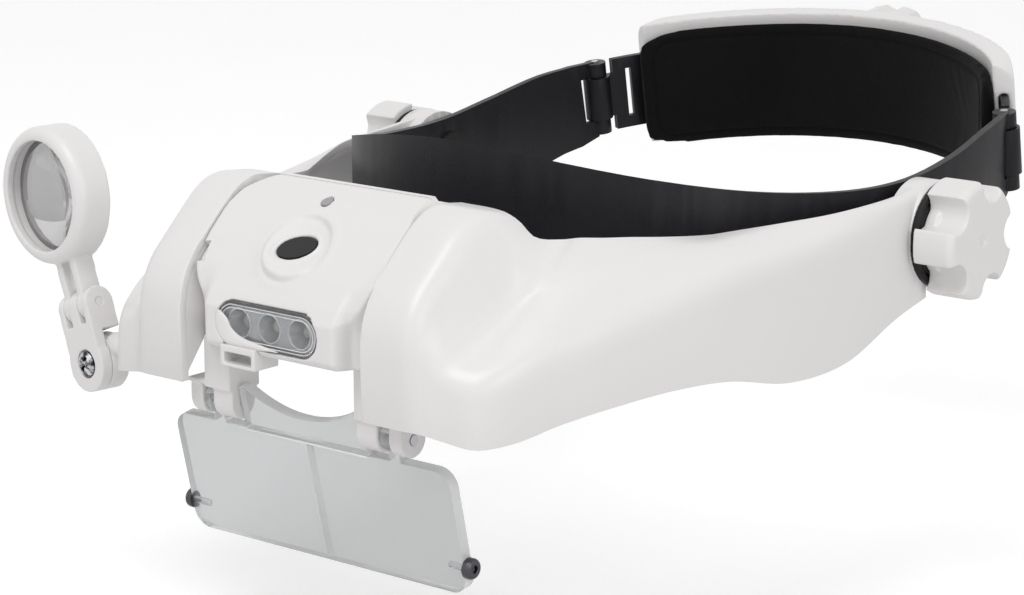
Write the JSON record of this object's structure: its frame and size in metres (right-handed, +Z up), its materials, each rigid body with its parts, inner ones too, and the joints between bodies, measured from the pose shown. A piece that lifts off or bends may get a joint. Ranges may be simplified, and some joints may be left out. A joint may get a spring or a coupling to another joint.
{
  "type": "lighted headband magnifier",
  "caption": "Headband magnifier with a tilting visor, a lamp over a flip-up lens plate, a swinging side loupe and a geared size adjuster at the back.",
  "frame": {"origin": "middle of the line joining the two temple bolts, where the head sits", "axes": "+X towards the wearer's left, -Y ahead of the wearer, +Z up with the band level at the temples"},
  "size_m": [0.2002, 0.2669, 0.1071],
  "materials": {
    "white_plastic": "satin moulded",
    "band_plastic": "fine matt grain",
    "steel": "plain turned",
    "black_rubber": "matt",
    "pad_cover": "smooth matt cover on foam",
    "nylon": "plain moulded",
    "clear_plastic": "polished",
    "reflector": "plated",
    "led_resin": "clear resin over phosphor",
    "board": "solder mask",
    "cell_wrap": "shrink wrap",
    "switch_black": "plain",
    "button_rubber": "fine matt",
    "grey_window": "smoked",
    "lens_acrylic": "polished",
    "dark_steel": "dark oxide",
    "chrome_screw": "polished",
    "loupe_glass": "polished",
    "brass_insert": "plain turned"
  },
  "bodies": {
    "headband": {"front_band": "band_plastic", "band_hinge_pins": "steel", "temple_bolts": "steel", "temple_liners": "black_rubber"},
    "visor": {"visor_shell": "white_plastic", "temple_washers": "black_rubber", "lamp_housing": "white_plastic", "lamp_back": "white_plastic", "lamp_lens": "clear_plastic", "lamp_reflector": "reflector", "lamp_leds": "led_resin", "lamp_board": "board", "battery_cell": "cell_wrap", "charge_inlet": "white_plastic", "button_switch": "switch_black", "indicator_window": "grey_window", "left_bracket": "white_plastic", "right_bracket": "white_plastic", "plate_pins": "steel", "loupe_mount": "white_plastic", "loupe_screw": "chrome_screw"},
    "power_button": {"power_button": "button_rubber"},
    "lens_plate": {"lens_plate": "lens_acrylic", "plate_studs": "dark_steel"},
    "loupe_link": {"loupe_link": "white_plastic", "loupe_pin": "white_plastic"},
    "loupe": {"loupe_ring": "white_plastic", "loupe_lens": "loupe_glass", "loupe_retainer": "white_plastic"},
    "left_knob": {"left_knob": "white_plastic", "left_knob_insert": "brass_insert"},
    "right_knob": {"right_knob": "white_plastic", "right_knob_insert": "brass_insert"},
    "rear_unit": {"rear_housing": "white_plastic", "rear_cover": "white_plastic", "rear_pad": "pad_cover", "rear_screws": "steel"},
    "left_strap": {"left_strap": "band_plastic"},
    "right_strap": {"right_strap": "band_plastic"},
    "rear_knob": {"rear_knob": "white_plastic", "pinion": "nylon"}
  },
  "joints": [
    {"name": "visor_tilt", "type": "hinge", "parent": "headband", "child": "visor", "pos_m": [0, 0, 0], "axis": [-1, 0, 0], "range_deg": [0, 60]},
    {"name": "left_knob_turn", "type": "hinge", "parent": "headband", "child": "left_knob", "pos_m": [0.09, 0, 0], "axis": [1, 0, 0], "range_deg": [0, 360]},
    {"name": "right_knob_turn", "type": "hinge", "parent": "headband", "child": "right_knob", "pos_m": [-0.09, 0, 0], "axis": [-1, 0, 0], "range_deg": [0, 360]},
    {"name": "power_button_press", "type": "slide", "parent": "visor", "child": "power_button", "axis": [0, 0.7218, -0.6921], "range_m": [0, 0.0008], "stiffness_N_per_m": 1500, "springref_m": -0.0002},
    {"name": "lens_plate_tilt", "type": "hinge", "parent": "visor", "child": "lens_plate", "pos_m": [0, -0.136, -0.0325], "axis": [1, 0, 0], "range_deg": [-75, 0]},
    {"name": "loupe_swing", "type": "hinge", "parent": "visor", "child": "loupe_link", "pos_m": [-0.0701, -0.14, -0.0307], "axis": [-0.1219, -0.9925, 0], "range_deg": [0, 205]},
    {"name": "loupe_fold", "type": "hinge", "parent": "loupe_link", "child": "loupe", "pos_m": [-0.0747, -0.1354, -0.01767], "axis": [0.9235, -0.1134, 0.3665], "range_deg": [0, 75]},
    {"name": "size_adjust", "type": "slide", "parent": "headband", "child": "rear_unit", "axis": [0, -0.9871, -0.1599], "range_m": [-0.0035, 0.0035]},
    {"name": "left_strap_wrap", "type": "hinge", "parent": "rear_unit", "child": "left_strap", "pos_m": [0, 0.02662, 0.00572], "axis": [0, -0.1599, 0.9871], "range_deg": [-2.5, 2.5]},
    {"name": "right_strap_wrap", "type": "hinge", "parent": "rear_unit", "child": "right_strap", "pos_m": [0, 0.02662, 0.00572], "axis": [0, -0.1599, 0.9871], "range_deg": [-2.5, 2.5]},
    {"name": "rear_knob_turn", "type": "hinge", "parent": "rear_unit", "child": "rear_knob", "pos_m": [0, 0.0592, 0.011], "axis": [0, 0.9871, 0.1599], "range_deg": [-37, 37]}
  ],
  "couplings": [
    {"joint": "left_strap_wrap", "follows": "size_adjust", "rad_per_m": 11.897},
    {"joint": "right_strap_wrap", "follows": "size_adjust", "rad_per_m": -11.897},
    {"joint": "rear_knob_turn", "follows": "size_adjust", "rad_per_m": -179.96}
  ]
}
